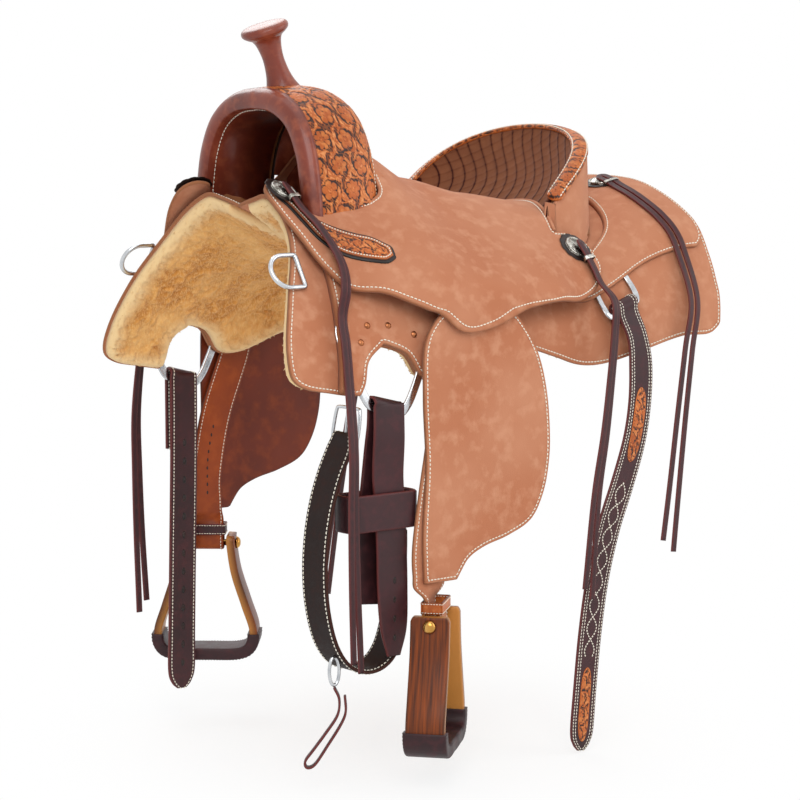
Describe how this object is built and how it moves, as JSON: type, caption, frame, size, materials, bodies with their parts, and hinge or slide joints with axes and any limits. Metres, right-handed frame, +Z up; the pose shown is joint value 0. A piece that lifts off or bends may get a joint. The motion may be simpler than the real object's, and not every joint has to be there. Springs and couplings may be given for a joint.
{
  "type": "western performance saddle",
  "caption": "Western performance saddle with horn, high cantle, roughout seat, fleece lined skirts, fenders, wooden stirrups, rigging dees, latigo, cinch and strings.",
  "frame": {"origin": "on the centre plane under the seat, over the middle of the horse's back", "axes": "+X to the rear (cantle), -X to the front (horn), +Y to the far (right) side, +Z up"},
  "size_m": [0.705, 0.6344, 0.9511],
  "materials": {
    "roughout leather": "rough suede",
    "smooth leather": "glossy",
    "tooled leather": "carved, satin",
    "latigo leather": "waxed, satin",
    "russet leather": "satin",
    "fleece": "deep pile",
    "tree wood": "sanded",
    "stirrup wood": "laminated, oiled",
    "bright steel": "polished",
    "silver": "engraved, polished",
    "brass": "polished"
  },
  "bodies": {
    "saddle": {"skirt_near": "roughout leather", "fleece_near": "fleece", "front_rig_ring_near": "bright steel", "rigging_plate_near": "roughout leather", "tree_bar_near": "tree wood", "front_patch_near": "tooled leather", "rear_rig_ring_near": "bright steel", "front_concho_near": "silver", "cantle_concho_near": "silver", "rear_concho_near": "silver", "front_strings_near": "latigo leather", "cantle_strings_near": "latigo leather", "rear_strings_near": "latigo leather", "skirt_far": "roughout leather", "fleece_far": "fleece", "front_rig_ring_far": "bright steel", "rigging_plate_far": "roughout leather", "tree_bar_far": "tree wood", "front_patch_far": "tooled leather", "rear_rig_ring_far": "bright steel", "front_concho_far": "silver", "cantle_concho_far": "silver", "rear_concho_far": "silver", "front_strings_far": "latigo leather", "cantle_strings_far": "latigo leather", "rear_strings_far": "latigo leather", "fork_cover": "tooled leather", "gullet_cover": "smooth leather", "tree_fork": "tree wood", "horn": "smooth leather", "seat_leather": "roughout leather", "seat_inlay": "roughout leather", "tree_cantle": "tree wood", "cantle_back": "roughout leather", "cantle_binding": "tooled leather", "rear_housing": "roughout leather"},
    "fender_near": {"fender_near": "roughout leather", "stirrup_leather_near": "roughout leather", "hobble_strap_near": "tooled leather"},
    "stirrup_near": {"stirrup_near": "stirrup wood", "stirrup_bolt_near": "brass", "stirrup_tread_near": "latigo leather"},
    "breast_dee_near": {"breast_dee_near": "bright steel"},
    "fender_far": {"fender_far": "russet leather", "stirrup_leather_far": "russet leather", "hobble_strap_far": "latigo leather"},
    "stirrup_far": {"stirrup_far": "stirrup wood", "stirrup_bolt_far": "brass", "stirrup_tread_far": "latigo leather"},
    "breast_dee_far": {"breast_dee_far": "bright steel"},
    "off_billet": {"off_billet_far": "latigo leather"},
    "rear_billet": {"rear_billet_near": "latigo leather"},
    "latigo_and_cinch": {"latigo_near": "latigo leather", "latigo_wrap": "latigo leather", "flank_cinch": "latigo leather", "cinch_buckle": "bright steel"},
    "cinch_snap": {"cinch_snap": "bright steel", "cinch_hobble": "latigo leather"}
  },
  "joints": [
    {"name": "fender_swing_near", "type": "hinge", "parent": "saddle", "child": "fender_near", "pos_m": [-0.1, -0.2442, -0.05], "axis": [0, 1, 0], "range_deg": [-10, 0]},
    {"name": "stirrup_pivot_near", "type": "hinge", "parent": "fender_near", "child": "stirrup_near", "pos_m": [-0.14, -0.2475, -0.434], "axis": [-0.769, -0.6392, 0], "range_deg": [0, 14]},
    {"name": "breast_dee_swing_near", "type": "hinge", "parent": "saddle", "child": "breast_dee_near", "pos_m": [-0.28854, -0.16937, 0.00222], "axis": [0, 0.5141, 0.8577], "range_deg": [0, 60]},
    {"name": "fender_swing_far", "type": "hinge", "parent": "saddle", "child": "fender_far", "pos_m": [-0.1, 0.2442, -0.05], "axis": [0, 1, 0], "range_deg": [-10, 0]},
    {"name": "stirrup_pivot_far", "type": "hinge", "parent": "fender_far", "child": "stirrup_far", "pos_m": [-0.15, 0.2475, -0.402], "axis": [0.769, -0.6392, 0], "range_deg": [-4, 14]},
    {"name": "breast_dee_swing_far", "type": "hinge", "parent": "saddle", "child": "breast_dee_far", "pos_m": [-0.28854, 0.16937, 0.00222], "axis": [0, 0.5141, -0.8577], "range_deg": [0, 60]},
    {"name": "off_billet_swing", "type": "hinge", "parent": "saddle", "child": "off_billet", "pos_m": [-0.203, 0.22683, -0.16149], "axis": [-1, 0, 0], "range_deg": [0, 5]},
    {"name": "rear_billet_swing", "type": "hinge", "parent": "saddle", "child": "rear_billet", "pos_m": [0.19, -0.23354, -0.05831], "axis": [0, 1, 0], "range_deg": [-3, 3]},
    {"name": "latigo_swing", "type": "hinge", "parent": "saddle", "child": "latigo_and_cinch", "pos_m": [-0.203, -0.22683, -0.16149], "axis": [1, 0, 0], "range_deg": [0, 5]},
    {"name": "snap_swing", "type": "hinge", "parent": "latigo_and_cinch", "child": "cinch_snap", "pos_m": [-0.27, -0.21, -0.4665], "axis": [0, 1, 0], "range_deg": [0, 20]}
  ]
}
